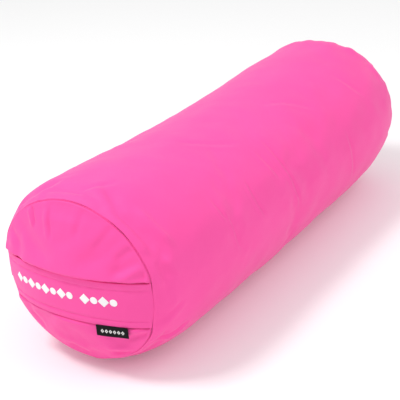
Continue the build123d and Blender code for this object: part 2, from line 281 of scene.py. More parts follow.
def sim_cover():
    """The closed cover at its base shape: the body's rings and an end panel at each end."""
    across, up, rim = disc_lattice(CELLS)
    columns = len(rim)
    angles = np.array([math.atan2(up[place], across[place]) for place in rim])
    spread = np.linspace(0, 1, SIM_RINGS)
    eased = spread - RING_CROWDING * np.sin(2 * math.pi * spread)
    ring_y = FRONT_SEAM + (REAR_SEAM - FRONT_SEAM) * eased
    points = list(body_points(angles[None, :], ring_y[:, None]).reshape(-1, 3))
    faces = grid_faces(SIM_RINGS, columns, closed=True)
    last_ring = (SIM_RINGS - 1) * columns
    for first, tip, seam in ((0, FRONT_TIP, FRONT_SEAM), (last_ring, REAR_TIP, REAR_SEAM)):
        index = {place: first + k for k, place in enumerate(rim)}
        for i in range(CELLS + 1):
            for j in range(CELLS + 1):
                if (i, j) not in index:
                    x = across[i, j] * SEAM_WIDTH
                    z = CENTRE_Z + up[i, j] * SEAM_HEIGHT
                    index[i, j] = len(points)
                    points.append((x, float(dome(x, z, tip, seam)), z))
        faces += [(index[i, j], index[i + 1, j], index[i + 1, j + 1], index[i, j + 1])
                  for i in range(CELLS) for j in range(CELLS)]
    cover = make_object("sim_cover", points, faces)
    tidy_mesh(cover)
    held = list(range(columns)) + list(range(last_ring, last_ring + columns))
    return cover, held


def point_places(mesh):
    """A mesh's points as rows of an array."""
    places = np.zeros(len(mesh.vertices) * 3)
    mesh.vertices.foreach_get("co", places)
    return places.reshape(-1, 3)


def simulate(cover, held):
    """Inflates the cover for a few frames and returns where its points end up."""
    cover.vertex_groups.new(name="seams").add(held, 1.0, "REPLACE")
    cloth = cover.modifiers.new("cloth", "CLOTH")
    for setting, value in CLOTH_SETTINGS.items():
        setattr(cloth.settings, setting, value)
    cloth.settings.effector_weights.gravity = 0
    cloth.collision_settings.use_collision = False
    cloth.collision_settings.use_self_collision = False
    cloth.point_cache.frame_start = 1
    cloth.point_cache.frame_end = SIM_FRAMES
    for step in range(1, SIM_FRAMES + 1):
        bpy.context.scene.frame_set(step)
    settled = cover.evaluated_get(bpy.context.evaluated_depsgraph_get())
    places = point_places(settled.to_mesh())
    settled.to_mesh_clear()
    cover.modifiers.clear()
    bpy.context.scene.frame_set(1)
    return places


def smoothed(values, mesh, passes):
    """Values at a mesh's points, each averaged with its neighbours this many times."""
    edges = np.zeros(len(mesh.edges) * 2, int)
    mesh.edges.foreach_get("vertices", edges)
    edges = edges.reshape(-1, 2)
    count = np.bincount(edges.ravel(), minlength=len(mesh.vertices))[:, None]
    for _ in range(passes):
        total = np.zeros_like(values)
        np.add.at(total, edges[:, 0], values[edges[:, 1]])
        np.add.at(total, edges[:, 1], values[edges[:, 0]])
        values = values / 2 + total / count / 2
    return values


def wrinkled_surface():
    """The cover's base shape with the simulated wrinkles on it, as a smooth surface to sample."""
    cover, held = sim_cover()
    base = point_places(cover.data)
    moved = simulate(cover, held)
    shift = moved - base
    wrinkle = shift - smoothed(shift, cover.data, SMOOTHING)
    size = np.linalg.norm(wrinkle, axis=1, keepdims=True)
    wrinkle *= np.minimum(1, WRINKLE_CAP / np.maximum(size, 1e-9))
    cover.data.vertices.foreach_set("co", (base + wrinkle).ravel())
    crease = cover.data.attributes.new("crease_edge", "FLOAT", "EDGE")
    seam_points = set(held)
    creases = [1.0 if set(edge.vertices) <= seam_points else 0.0 for edge in cover.data.edges]
    crease.data.foreach_set("value", creases)
    finer = cover.modifiers.new("finer", "SUBSURF")
    finer.levels = 2
    apply_modifiers(cover)
    points = [point.co.copy() for point in cover.data.vertices]
    tree = BVHTree.FromPolygons(points, [tuple(face.vertices) for face in cover.data.polygons])
    bpy.data.objects.remove(cover)
    return tree


surface = wrinkled_surface()


def sample(origins, directions):
    """Where rays first meet the wrinkled surface."""
    hits = origins.copy()
    for k, (origin, direction) in enumerate(zip(origins, directions)):
        hit = surface.ray_cast(Vector(origin), Vector(direction))[0]
        if hit is not None:
            hits[k] = hit
    return hits


# ---- the handle's pull on the front seam ----
PULL = 3.5 * MM  # how far the handle's two ends pull the seam in
PULL_LENGTH = 10 * MM  # how far along the body that reaches
PULL_ACROSS = (0.6, 0.35)  # share of the seam's width where it starts, and over which it grows
PULL_SPREAD = 1.1  # how far up and down it reaches, in half-widths of the handle
PULL_STEEPNESS = 6


def pull_in(piece):
    """Moves a piece's points inwards where the handle's ends pull the front seam in."""
    places = point_places(piece.data)
    across, along, up = places.T
    level = (2 * up - STRAP_TOP - STRAP_BOTTOM) / (STRAP_TOP - STRAP_BOTTOM)
    near_ends = smooth_step((np.abs(across) / SEAM_WIDTH - PULL_ACROSS[0]) / PULL_ACROSS[1])
    near_seam = np.exp(-((np.clip(along - FRONT_SEAM, 0, None) / PULL_LENGTH) ** 2))
    near_handle = np.exp(-((level / PULL_SPREAD) ** PULL_STEEPNESS))
    places[:, 0] -= np.sign(across) * PULL * near_ends * near_seam * near_handle
    piece.data.vertices.foreach_set("co", places.ravel())
    piece.data.update()


# ---- folds and gathers, placed one by one ----
FOLD_TAPER = 0.3  # share of a fold's length over which each end fades out
RIDGE_HEIGHT = 0.6  # beside the valley, as a share of its depth
RIDGE_PLACE = 1.9  # in half-widths of the valley, and so is
RIDGE_WIDTH = 1.3
GATHER_WIDTH = (3, 8)  # half-widths at the seam, in millimetres
GATHER_SPREAD = 0.15  # what they widen by, as a share of the distance from the seam
GATHER_LENGTH = (0.5, 1.4)  # as shares of their reach
GATHER_LEAN = 0.3
GATHER_HOLD = 3 * MM  # they fade in over this distance from the seam


def fold(along, across, start, end, width, depth, bow=0.0):
    """Height of one fold: a valley from start to end with a ridge on its left, bowed to that side."""
    run = np.subtract(end, start)
    length = math.hypot(*run)
    t = ((along - start[0]) * run[0] + (across - start[1]) * run[1]) / length**2
    side = ((across - start[1]) * run[0] - (along - start[0]) * run[1]) / length - bow * 4 * t * (1 - t)
    taper = smooth_step(t / FOLD_TAPER) * smooth_step((1 - t) / FOLD_TAPER)
    valley = np.exp(-((side / width) ** 2))
    ridge = RIDGE_HEIGHT * np.exp(-(((side - RIDGE_PLACE * width) / (RIDGE_WIDTH * width)) ** 2))
    return depth * taper * (ridge - valley)


def gathers(arc, distance, girth, count, reach, depth):
    """Height of the small gathers beside a seam: arc runs along the seam, distance away from it."""
    height = np.zeros(np.broadcast(arc, distance).shape)
    for _ in range(count):
        place = rng.uniform(0, girth)
        width = rng.uniform(*GATHER_WIDTH) * MM
        length = reach * rng.uniform(*GATHER_LENGTH)
        size = depth * rng.normal()
        lean = rng.uniform(-GATHER_LEAN, GATHER_LEAN)
        offset = wrapped(arc - place - lean * distance, girth)
        spread = width + GATHER_SPREAD * distance
        height += size * np.exp(-((offset / spread) ** 2)) * np.exp(-distance / length)
    return height * smooth_step(distance / GATHER_HOLD)


# the body's folds: degrees round the body and millimetres along it at each end, half-width,
# depth and bow in millimetres
BODY_FOLDS = (
    ((56, -36), (-14, -22), 2.3, 2.0, 6),
    ((50, -58), (20, -52), 3.0, 1.2, 4),
    ((38, -112), (4, -106), 2.0, 1.7, 4),
    ((40, -178), (18, -172), 2.2, 1.5, 3),
    ((28, -168), (-4, -162), 2.0, 1.6, 4),
    ((66, -289), (30, -287), 3.6, 1.7, 0),
    ((58, -270), (24, -264), 5.2, -2.9, 4),
    ((34, -285), (8, -268), 4.0, -1.8, 3),
    ((-38, -298), (-24, -252), 3.0, 2.4, 3),
    ((-20, -298), (-6, -266), 3.6, 1.6, -2),
    ((90, -288), (74, -250), 4.0, 1.4, 2),
    ((84, -130), (56, -60), 4.0, 0.9, 6),
    ((74, 30), (44, 96), 4.0, 0.9, -6),
    ((24, 116), (-22, 130), 2.8, 1.2, 4),
    ((60, 180), (30, 200), 3.6, 1.0, 4),
)

# where the body stands out beyond its base shape: degrees round it and millimetres along it, then
# how far the bulge spreads round and along and how high it is, in millimetres
BODY_BULGES = (
    (104, 262, 60, 26, 5.5),
    (66, 276, 13, 11, 3.0),
    (40, 276, 12, 11, 3.0),
    (140, -270, 45, 26, 3.5),
)
BULGE_HOLD = 12 * MM  # the bulges fade out over this length towards the seams

# the front panel's folds: millimetres across and above the middle at each end, half-width, depth, bow
FRONT_FOLDS = (
    ((-13, 50), (-22, 86), 2.4, 1.9, 1),
    ((-38, 58), (-51, 82), 2.2, 2.2, -1),
    ((16, 54), (24, 90), 4.2, 1.2, 1),
    ((36, 46), (60, 80), 4.4, 1.3, -1),
    ((60, 38), (84, 57), 4.0, 1.4, 1),
    ((58, 20), (94, 38), 4.2, -2.4, -1),
    ((-60, 30), (-82, 50), 4.0, 1.3, 1),
    ((56, -56), (94, -38), 3.4, 2.4, 2),
    ((34, -74), (68, -68), 3.2, 3.0, -1),
    ((-72, -48), (-48, -68), 4.0, 1.6, 1),
    ((-22, -76), (8, -87), 4.0, 1.4, 2),
)
HOLLOW_PLACE = (89 * MM, 27 * MM)  # where the front panel falls back beside the handle's end
HOLLOW_SIZE = (11 * MM, 9 * MM)
HOLLOW_DEPTH = 3.0 * MM

# number of gathers, reach and depth
FRONT_GATHERS = (70, 24 * MM, 0.8 * MM)
REAR_GATHERS = (80, 32 * MM, 1.5 * MM)
ZIP_GATHERS = (44, 20 * MM, 0.45 * MM)
FRONT_RIM_GATHERS = (56, 20 * MM, 0.5 * MM)
REAR_RIM_GATHERS = (56, 20 * MM, 0.9 * MM)

WAVES = 14
WAVE_LENGTH = (28 * MM, 95 * MM)
WAVE_HEIGHT = 0.22 * MM
WAVE_SWAY = 0.6  # radians by which a wave's crest wanders,
SWAY_LENGTH = 1.7  # over this share of its length


def unevenness(along, across):
    """Height of the gentle waves all over stuffed cloth, from many crossing ripples."""
    height = np.zeros(np.broadcast(along, across).shape)
    for _ in range(WAVES):
        length = rng.uniform(*WAVE_LENGTH)
        heading = rng.uniform(0, math.pi)
        forward = along * math.cos(heading) + across * math.sin(heading)
        sideways = along * math.sin(heading) - across * math.cos(heading)
        phase = rng.uniform(0, 2 * math.pi) + WAVE_SWAY * np.sin(sideways / (SWAY_LENGTH * length))
        height += WAVE_HEIGHT * np.sin(2 * math.pi * forward / length + phase) * length / WAVE_LENGTH[1]
    return height


def body_folds(angle, y):
    """Height of the body's folds, bulges and waves, and of the gathers beside its seams and zip."""
    arc = angle * RADIUS
    girth = 2 * math.pi * RADIUS
    height = np.zeros(np.broadcast(arc, y).shape)
    for start, end, width, depth, bow in BODY_FOLDS:
        first = (math.radians(start[0]) * RADIUS, start[1] * MM)
        last = (math.radians(end[0]) * RADIUS, end[1] * MM)
        for turn in (0, girth):
            height += fold(arc - turn, y, first, last, width * MM, depth * MM, bow * MM)
    from_seam = np.minimum(y - FRONT_SEAM, REAR_SEAM - y)
    for turn, place, round_spread, long_spread, rise in BODY_BULGES:
        off_round = wrapped(arc - math.radians(turn) * RADIUS, girth) / (round_spread * MM)
        off_along = (y - place * MM) / (long_spread * MM)
        height += rise * MM * np.exp(-(off_round**2) - off_along**2) * smooth_step(from_seam / BULGE_HOLD)
    height += gathers(arc, y - FRONT_SEAM, girth, *FRONT_GATHERS)
    height += gathers(arc, REAR_SEAM - y, girth, *REAR_GATHERS)
    height += unevenness(arc, y)
    from_zip = np.abs(wrapped(angle - ZIP_ANGLE, 2 * math.pi)) * RADIUS - ZIP_STITCH_OFFSET
    along_zip = REAR_SEAM - FRONT_SEAM
    height += gathers(y - FRONT_SEAM, np.maximum(from_zip, 0), along_zip, *ZIP_GATHERS)
    return height


def front_folds(x, z):
    """Height of the front panel's folds, with the hollow beside the handle's right end."""
    height = np.zeros_like(x)
    up = z - CENTRE_Z
    for start, end, width, depth, bow in FRONT_FOLDS:
        first, last = np.multiply(start, MM), np.multiply(end, MM)
        height += fold(x, up, first, last, width * MM, depth * MM, bow * MM)
    off_across = (x - HOLLOW_PLACE[0]) / HOLLOW_SIZE[0]
    off_up = (up - HOLLOW_PLACE[1]) / HOLLOW_SIZE[1]
    return height - HOLLOW_DEPTH * np.exp(-(off_across**2) - off_up**2)


def rim_gathers(x, z, pattern):
    """Height of the gathers just inside an end panel's seam."""
    radius = np.hypot(x / SEAM_WIDTH, (z - CENTRE_Z) / SEAM_HEIGHT)
    arc = np.arctan2(z - CENTRE_Z, x) * SEAM_WIDTH
    return gathers(arc, (1 - radius) * SEAM_WIDTH, 2 * math.pi * SEAM_WIDTH, *pattern)


# ---- materials ----
PINK = (0.95, 0.088, 0.385)
DEEP_PINK = (0.91, 0.072, 0.348)
THREAD_TWIST = 9000  # radians of twist for each metre
LABEL_WIDTH = 36 * MM
LABEL_HEIGHT = 11.5 * MM
LABEL_THICKNESS = 0.7 * MM
LABEL_YARNS = (0.35 * MM, 0.3 * MM)
MOTIFS = 6
MOTIF_PITCH = 4.6 * MM
MOTIF_RISE = 2.6 * MM
MOTIF_EDGE = 0.85  # the size of a motif's lozenge and of the hole in it, as shares of its cell
MOTIF_HOLE = 0.3


def node_material(name):
    """A material with its nodes, links and Principled shader."""
    material = bpy.data.materials.new(name)
    material.use_nodes = True
    tree = material.node_tree
    return material, tree, tree.nodes["Principled BSDF"]


def set_inputs(node, values):
    """Sets a node's inputs to these values."""
    for name, value in values.items():
        node.inputs[name].default_value = value


def math_node(tree, operation, first, second=None):
    """A Math node; each input is a socket or a number."""
    node = tree.nodes.new("ShaderNodeMath")
    node.operation = operation
    for socket, value in zip(node.inputs, (first, second)):
        if isinstance(value, bpy.types.NodeSocket):
            tree.links.new(value, socket)
        elif value is not None:
            socket.default_value = value
    return node.outputs[0]


def wave(tree, value, rate):
    """The sine of a value times a rate."""
    return math_node(tree, "SINE", math_node(tree, "MULTIPLY", value, rate))


def scaled(tree, value, factor, start):
    """A value times a factor, counted from a start."""
    return math_node(tree, "ADD", math_node(tree, "MULTIPLY", value, factor), start)


def distance_from(tree, value, middle):
    """How far a value is from a middle one."""
    return math_node(tree, "ABSOLUTE", math_node(tree, "SUBTRACT", value, middle))


def texture_place(tree, kind):
    """A texture coordinate, Object or UV."""
    return tree.nodes.new("ShaderNodeTexCoord").outputs[kind]


def noise_node(tree, vector, scale, detail=3, roughness=0.5):
    """A noise texture's value."""
    node = tree.nodes.new("ShaderNodeTexNoise")
    set_inputs(node, {"Scale": scale, "Detail": detail, "Roughness": roughness})
    tree.links.new(vector, node.inputs["Vector"])
    return node.outputs["Fac"]


def weighted_sum(tree, *parts):
    """The sum of values, each given with its weight."""
    total = None
    for value, weight in parts:
        part = math_node(tree, "MULTIPLY", value, weight)
        total = part if total is None else math_node(tree, "ADD", total, part)
    return total


def split_vector(tree, vector):
    """The two first parts of a vector."""
    split = tree.nodes.new("ShaderNodeSeparateXYZ")
    tree.links.new(vector, split.inputs[0])
    return split.outputs["X"], split.outputs["Y"]


def twill(tree, place, yarn):
    """Height of a twill weave, from 0 to 1: yarns crossed by diagonal ribs."""
    x, y = split_vector(tree, place)
    turn = 2 * math.pi / yarn
    crossing = math_node(tree, "MULTIPLY", wave(tree, x, turn), wave(tree, y, turn))
    rib = wave(tree, math_node(tree, "ADD", x, y), turn / 2)
    return math_node(tree, "ADD", weighted_sum(tree, (crossing, 0.2), (rib, 0.25)), 0.5)


def add_bump(tree, height, strength, distance, under=None):
    """A bump of this height, on top of another bump if one is given."""
    bump = tree.nodes.new("ShaderNodeBump")
    set_inputs(bump, {"Strength": strength, "Distance": distance})
    tree.links.new(height, bump.inputs["Height"])
    if under is not None:
        tree.links.new(under, bump.inputs["Normal"])
    return bump.outputs["Normal"]


def colour_ramp(tree, value, low, high, start=0.3, end=0.7):
    """A colour that goes from low to high as the value goes from start to end."""
    ramp = tree.nodes.new("ShaderNodeValToRGB")
    ramp.color_ramp.elements[0].position = start
    ramp.color_ramp.elements[0].color = (*low, 1)
    ramp.color_ramp.elements[1].position = end
    ramp.color_ramp.elements[1].color = (*high, 1)
    tree.links.new(value, ramp.inputs["Fac"])
    return ramp.outputs["Color"]


def cloth_material(name, colour, darker, yarn=0.7 * MM, relief=0.15, sheen=0.12, coordinate="UV"):
    """Woven cloth: twill relief, slubs, faint colour variation and a soft sheen."""
    material, tree, shader = node_material(name)
    thread_place, place = texture_place(tree, coordinate), texture_place(tree, "Object")
    weave = twill(tree, thread_place, yarn)
    patches = noise_node(tree, place, scale=14, roughness=0.55)
    slubs = noise_node(tree, thread_place, scale=900, detail=2)
    shade = weighted_sum(tree, (patches, 0.45), (slubs, 0.25), (weave, 0.3))
    tree.links.new(colour_ramp(tree, shade, darker, colour), shader.inputs["Base Color"])
    softness = noise_node(tree, place, scale=55, detail=5, roughness=0.62)
    soft = add_bump(tree, softness, strength=0.4, distance=1.2 * MM)
    fine = add_bump(tree, weave, strength=relief, distance=0.2 * MM, under=soft)
    tree.links.new(fine, shader.inputs["Normal"])
    set_inputs(shader, {"Roughness": 0.62, "Specular IOR Level": 0.3})
    set_inputs(shader, {"Sheen Weight": sheen, "Sheen Roughness": 0.4})
    return material


def thread_material(name, colour, darker):
    """Twisted sewing thread."""
    material, tree, shader = node_material(name)
    x, y = split_vector(tree, texture_place(tree, "Object"))
    strands = wave(tree, math_node(tree, "ADD", x, y), THREAD_TWIST)
    twist = scaled(tree, strands, factor=0.5, start=0.5)
    tree.links.new(colour_ramp(tree, twist, darker, colour), shader.inputs["Base Color"])
    tree.links.new(add_bump(tree, twist, strength=0.4, distance=0.1 * MM), shader.inputs["Normal"])
    set_inputs(shader, {"Roughness": 0.45, "Sheen Weight": 0.2})
    return material


def smooth_material(name, colour, darker, roughness, metallic, grain):
    """Moulded plastic, metal or a printed film, with fine grain in colour, gloss and relief."""
    material, tree, shader = node_material(name)
    place = texture_place(tree, "Object")
    speckle = noise_node(tree, place, scale=grain, detail=4, roughness=0.6)
    wear = noise_node(tree, place, scale=grain / 12, detail=2)
    tree.links.new(colour_ramp(tree, wear, darker, colour), shader.inputs["Base Color"])
    gloss = scaled(tree, speckle, factor=0.2, start=roughness - 0.1)
    tree.links.new(gloss, shader.inputs["Roughness"])
    tree.links.new(add_bump(tree, speckle, strength=0.15, distance=0.05 * MM), shader.inputs["Normal"])
    set_inputs(shader, {"Metallic": metallic})
    return material


def label_material():
    """Black satin label with a woven row of small white lozenges."""
    material, tree, shader = node_material("label_satin")
    along, up = split_vector(tree, texture_place(tree, "UV"))
    cell = math_node(tree, "FRACT", math_node(tree, "MULTIPLY", along, 1 / MOTIF_PITCH))
    height = distance_from(tree, up, LABEL_HEIGHT / 2)
    lozenge = weighted_sum(tree, (distance_from(tree, cell, 0.5), 2), (height, 1 / MOTIF_RISE))
    inside = math_node(tree, "LESS_THAN", lozenge, MOTIF_EDGE)
    round_hole = math_node(tree, "GREATER_THAN", lozenge, MOTIF_HOLE)
    from_middle = distance_from(tree, along, LABEL_WIDTH / 2)
    within = math_node(tree, "LESS_THAN", from_middle, MOTIFS / 2 * MOTIF_PITCH)
    motif = math_node(tree, "MULTIPLY", math_node(tree, "MULTIPLY", inside, round_hole), within)
    warp, weft = (wave(tree, place, 2 * math.pi / yarn) for place, yarn in zip((along, up), LABEL_YARNS))
    weave = scaled(tree, math_node(tree, "MULTIPLY", warp, weft), factor=0.4, start=0.5)
    black = colour_ramp(tree, weave, (0.002, 0.002, 0.003), (0.009, 0.009, 0.010))
    mix = tree.nodes.new("ShaderNodeMix")
    mix.data_type = "RGBA"
    tree.links.new(motif, mix.inputs["Factor"])
    tree.links.new(black, mix.inputs["A"])
    set_inputs(mix, {"B": (0.75, 0.75, 0.73, 1)})
    tree.links.new(mix.outputs["Result"], shader.inputs["Base Color"])
    raised = math_node(tree, "ADD", weave, motif)
    tree.links.new(add_bump(tree, raised, strength=0.3, distance=0.12 * MM), shader.inputs["Normal"])
    set_inputs(shader, {"Roughness": 0.6, "Specular IOR Level": 0.12})
    return material


cover_cloth = cloth_material("cover_cotton", PINK, DEEP_PINK)
thread = thread_material("cover_thread", colour=(0.86, 0.07, 0.32), darker=(0.70, 0.035, 0.22))
tape_cloth = cloth_material(
    "zip_tape_weave", colour=(0.85, 0.06, 0.30), darker=(0.70, 0.04, 0.22),
    yarn=1.1 * MM, relief=0.4, coordinate="Object",
)
liner_cloth = cloth_material(
    "liner_cotton", colour=(0.86, 0.83, 0.76), darker=(0.78, 0.75, 0.68), coordinate="Object"
)
liner_thread = thread_material("liner_thread", colour=(0.80, 0.77, 0.70), darker=(0.62, 0.59, 0.52))
fibre = cloth_material(
    "filling_fibre", colour=(0.90, 0.89, 0.85), darker=(0.80, 0.79, 0.74),
    yarn=3 * MM, relief=0.6, coordinate="Object",
)
zip_plastic = smooth_material(
    "zip_plastic", colour=(0.85, 0.07, 0.32), darker=(0.74, 0.05, 0.26),
    roughness=0.35, metallic=0, grain=900,
)
zip_metal = smooth_material(
    "zip_metal", colour=(0.72, 0.73, 0.74), darker=(0.58, 0.59, 0.60),
    roughness=0.32, metallic=1, grain=1400,
)
print_film = smooth_material(
    "print_film", colour=(0.93, 0.93, 0.93), darker=(0.88, 0.88, 0.88),
    roughness=0.45, metallic=0, grain=600,
)

NODE_MATERIALS = {
    "zip_tape_upper": tape_cloth, "zip_tape_lower": tape_cloth,
    "zip_teeth_upper": zip_plastic, "zip_teeth_lower": zip_plastic,
    "zip_top_stops": zip_metal, "zip_bottom_stop": zip_metal,
    "zip_slider": zip_metal, "zip_pull": zip_metal,
    "liner_tube": liner_cloth, "liner_front_disc": liner_cloth, "liner_rear_disc": liner_cloth,
    "liner_closing_stitches": liner_thread, "filling_core": fibre,
}
for node, material in NODE_MATERIALS.items():
    for material_slot in frame["nodes"][node].material_slots:
        material_slot.material = material


# ---- body panel ----
# how each panel's edge turns in at a seam: depth below the cover's face, and distance from the
# seam's plane towards the panel's own side, in millimetres
ROLL = ((0.04, 0.85), (0.12, 0.55), (0.26, 0.31), (0.46, 0.14), (0.75, 0.05))
BODY_EDGE = ROLL + ((1.3, 0.05), (1.75, 0.6), (1.75, 3), (1.75, 10))
END_EDGE = ROLL + ((1.5, 0.03), (2.2, -0.4), (2.65, -1.2), (2.65, -3), (2.65, -10))
RIM = 1.2 * MM  # from the seam's plane to a panel's outermost full row, where its edge starts to roll
SEAM_HOLD = 22 * MM  # the seams hold the cloth down over this length: its wrinkles fade out,
EDGE_HOLD = 5 * MM  # and so do the folds,
STRAP_HOLD = 2.5 * MM  # and the bulges beside the handle
BODY_COLUMNS = 380
CREASE = 1.0 * MM  # half-width and depth of the closed seam's crease in front of the zip and behind it
ZIP_FLAT = 9 * MM  # the cover lies flat this near the zip,
ZIP_EASE = 20 * MM  # and this much further out it is free to fold
ABOVE_FLOOR = 0.15 * MM


def turned_edge(first, seam_y, side, path):
    """Rows that roll a panel's edge over its seam and turn it in; side is where the panel lies."""
    inward = np.array([0, 0, CENTRE_Z]) - first
    inward[:, 1] = 0
    inward /= np.linalg.norm(inward, axis=1, keepdims=True)
    rows = []
    for depth, beyond in path:
        row = first + inward * depth * MM
        row[:, 1] = seam_y + side * beyond * MM
        rows.append(row)
    return rows


def zip_columns():
    """Angles of the body's columns: the zip's middle and a crease beside it, then the opening's edges
    and the rest of the way round.
    """
    arc = math.hypot(HALF_WIDTH * math.sin(ZIP_ANGLE), HALF_HEIGHT * math.cos(ZIP_ANGLE))
    edge = ZIP_HALF_OPENING / arc
    crease = CREASE / arc
    round_body = np.linspace(edge, 2 * math.pi - edge, BODY_COLUMNS)
    return ZIP_ANGLE + np.concatenate([[0, crease], round_body, [2 * math.pi - crease]])


def body_surface(angles, rows_y):
    """The body's rows of points between its seams, with wrinkles, folds and the zip seam's crease."""
    grid_angle, grid_y = np.meshgrid(angles, rows_y)
    base = body_points(grid_angle, grid_y)
    inward = (0, 0, CENTRE_Z) - base * (1, 0, 1)
    inward /= np.linalg.norm(inward, axis=-1, keepdims=True)
    hits = sample((base - inward * RAY_START).reshape(-1, 3), inward.reshape(-1, 3)).reshape(base.shape)
    height = body_folds(grid_angle, grid_y)
    from_zip = np.abs(wrapped(grid_angle - ZIP_ANGLE, 2 * math.pi)) * RADIUS
    past_zip = np.maximum(OPENING_FRONT - grid_y, grid_y - OPENING_REAR)
    free = smooth_step((np.maximum(from_zip, past_zip) - ZIP_FLAT) / ZIP_EASE)
    from_seam = np.minimum(grid_y - FRONT_SEAM, REAR_SEAM - grid_y)
    wrinkle = ((hits - base) * inward).sum(axis=-1) * smooth_step(from_seam / SEAM_HOLD)
    crease = CREASE * (from_zip < CREASE / 2) * (past_zip > 0)
    points = base + inward * (limited(wrinkle - height) * free + crease)[..., None]
    points[..., 2] = np.maximum(points[..., 2], ABOVE_FLOOR)
    return points


def body_panel():
    """The long panel, open along the zip, with both ends turned in at the seams."""
    angles = zip_columns()
    rows_y = spaced(FRONT_SEAM + RIM, REAR_SEAM - RIM, fine=1.2 * MM, coarse=2.4 * MM, reach=60 * MM)
    for end in (OPENING_FRONT, OPENING_REAR):
        rows_y[np.argmin(np.abs(rows_y - end))] = end
    points = body_surface(angles, rows_y)
    front = turned_edge(points[0], FRONT_SEAM, 1, BODY_EDGE)[::-1]
    rear = turned_edge(points[-1], REAR_SEAM, -1, BODY_EDGE)
    rows = np.array(front + list(points) + rear)
    first_open = len(front) + int(np.argmin(np.abs(rows_y - OPENING_FRONT)))
    last_open = len(front) + int(np.argmin(np.abs(rows_y - OPENING_REAR)))
    columns = len(angles)

    def keep(row, column):
        beside_zip = column in (0, 1, columns - 2, columns - 1)
        return not (beside_zip and first_open <= row < last_open)

    arc = np.broadcast_to(angles * RADIUS, rows.shape[:2])
    uvs = np.stack([arc, rows[..., 1]], axis=-1).reshape(-1, 2)
    faces = grid_faces(len(rows), columns, closed=True, keep=keep)
    piece = make_object("body_cover", rows.reshape(-1, 3), faces, uvs)
    tidy_mesh(piece, outwards=False)
    piece.data.materials.append(cover_cloth)
    add_thickness(piece, CLOTH)
    return piece


body = body_panel()
pull_in(body)
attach(body, "cover")
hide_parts("body_panel")


# ---- end panels ----
END_CELLS = 200
PRESSED_IN = 2.6 * MM  # how far the handle presses the front panel in,
PRESSED_PAST = (1.2 * MM, 2.6 * MM)  # in full and at all, this far past the handle's edges
BULGE_ABOVE = 3.3 * MM  # how far the panel bulges over the handle's upper edge
BULGE_BELOW = 1.2 * MM  # and under its lower edge
# each bulge's start and crest, as distances from the handle's edge, and its fading length
ABOVE_PROFILE = (1.1 * MM, 3.3 * MM, 13 * MM)
BELOW_PROFILE = (0, 4 * MM, 10 * MM)


def bulge(distance, start, crest, fade):
    """A bulge's height beside the handle, as a share of its crest's."""
    past_crest = np.clip(distance - crest, 0, None)
    return smooth_step((distance - start) / (crest - start)) * np.exp(-past_crest / fade)


def strap_groove(z):
    """How far the front panel lies behind its base shape: pressed in by the handle, bulging beside it."""
    above, below = z - STRAP_TOP, STRAP_BOTTOM - z
    outside = np.maximum(above, below)
    full, none = PRESSED_PAST
    pressed = PRESSED_IN * smooth_step((none - outside) / (none - full))
    return pressed - BULGE_ABOVE * bulge(above, *ABOVE_PROFILE) - BULGE_BELOW * bulge(below, *BELOW_PROFILE)


def end_surface(across, up, tip, seam, facing, grooved):
    """An end panel's points inside its rim, with wrinkles, folds and the groove under the handle."""
    share = 1 - RIM / SEAM_WIDTH
    x = across.ravel() * SEAM_WIDTH * share
    z = CENTRE_Z + up.ravel() * SEAM_HEIGHT * share
    origins = np.stack([x, np.full_like(x, tip + facing * RAY_START), z], axis=-1)
    points = sample(origins, np.tile((0.0, -facing, 0.0), (len(x), 1)))
    from_seam = (1 - np.hypot(across.ravel(), up.ravel())) * SEAM_WIDTH
    height = rim_gathers(x, z, FRONT_RIM_GATHERS if grooved else REAR_RIM_GATHERS)
    height += unevenness(x, z)
    if grooved:
        height += front_folds(x, z)
    base = dome(x, z, tip, seam)
    wrinkle = facing * (base - points[:, 1]) * smooth_step(from_seam / SEAM_HOLD)
    depth = wrinkle - height * smooth_step(from_seam / EDGE_HOLD)
    if grooved:
        depth += strap_groove(z) * smooth_step(from_seam / STRAP_HOLD)
    points[:, 1] = base - facing * limited(depth)
    return points


def end_panel(name, tip, seam, facing, grooved):
    """A domed end panel with its edge turned in; facing is -1 towards the front and 1 to the rear."""
    across, up, rim = disc_lattice(END_CELLS)
    points = end_surface(across, up, tip, seam, facing, grooved)
    size = END_CELLS + 1
    faces = grid_faces(size, size)
    loops = [[i * size + j for i, j in rim]]
    columns = len(rim)
    for row in turned_edge(points[loops[0]], seam, facing, END_EDGE):
        loops.append(list(range(len(points), len(points) + columns)))
        points = np.vstack([points, row])
    for outer, inner in zip(loops[:-1], loops[1:]):
        for k in range(columns):
            beside = (k + 1) % columns
            faces.append((outer[k], outer[beside], inner[beside], inner[k]))
    piece = make_object(name, points, faces, points[:, [0, 2]])
    tidy_mesh(piece)
    piece.data.materials.append(cover_cloth)
    add_thickness(piece, CLOTH)
    return piece


front_end = end_panel("front_end_cover", FRONT_TIP, FRONT_SEAM, facing=-1, grooved=True)
pull_in(front_end)
rear_end = end_panel("rear_end_cover", REAR_TIP, REAR_SEAM, facing=1, grooved=False)
for end, side in ((front_end, "front"), (rear_end, "rear")):
    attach(end, "cover")
    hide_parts(side + "_end_panel", side + "_seam_allowance")


# ---- stitches ----
THREAD = 0.42 * MM  # thickness
STITCH_FILL = 0.8  # share of the pitch that a stitch takes up
STITCH_TIP = 0.45  # its thickness at its ends, as a share of its full thickness
STITCH_RISE = 0.3  # how far its middle rises and
STITCH_SINK = 0.1  # its ends sink into the cloth, in thicknesses
STITCH_FLATTENED = 0.7
SEAM_STITCHES = 150
SEAM_THREAD_INSET = 3.6 * MM
SEAM_THREAD_PAST = 4 * MM


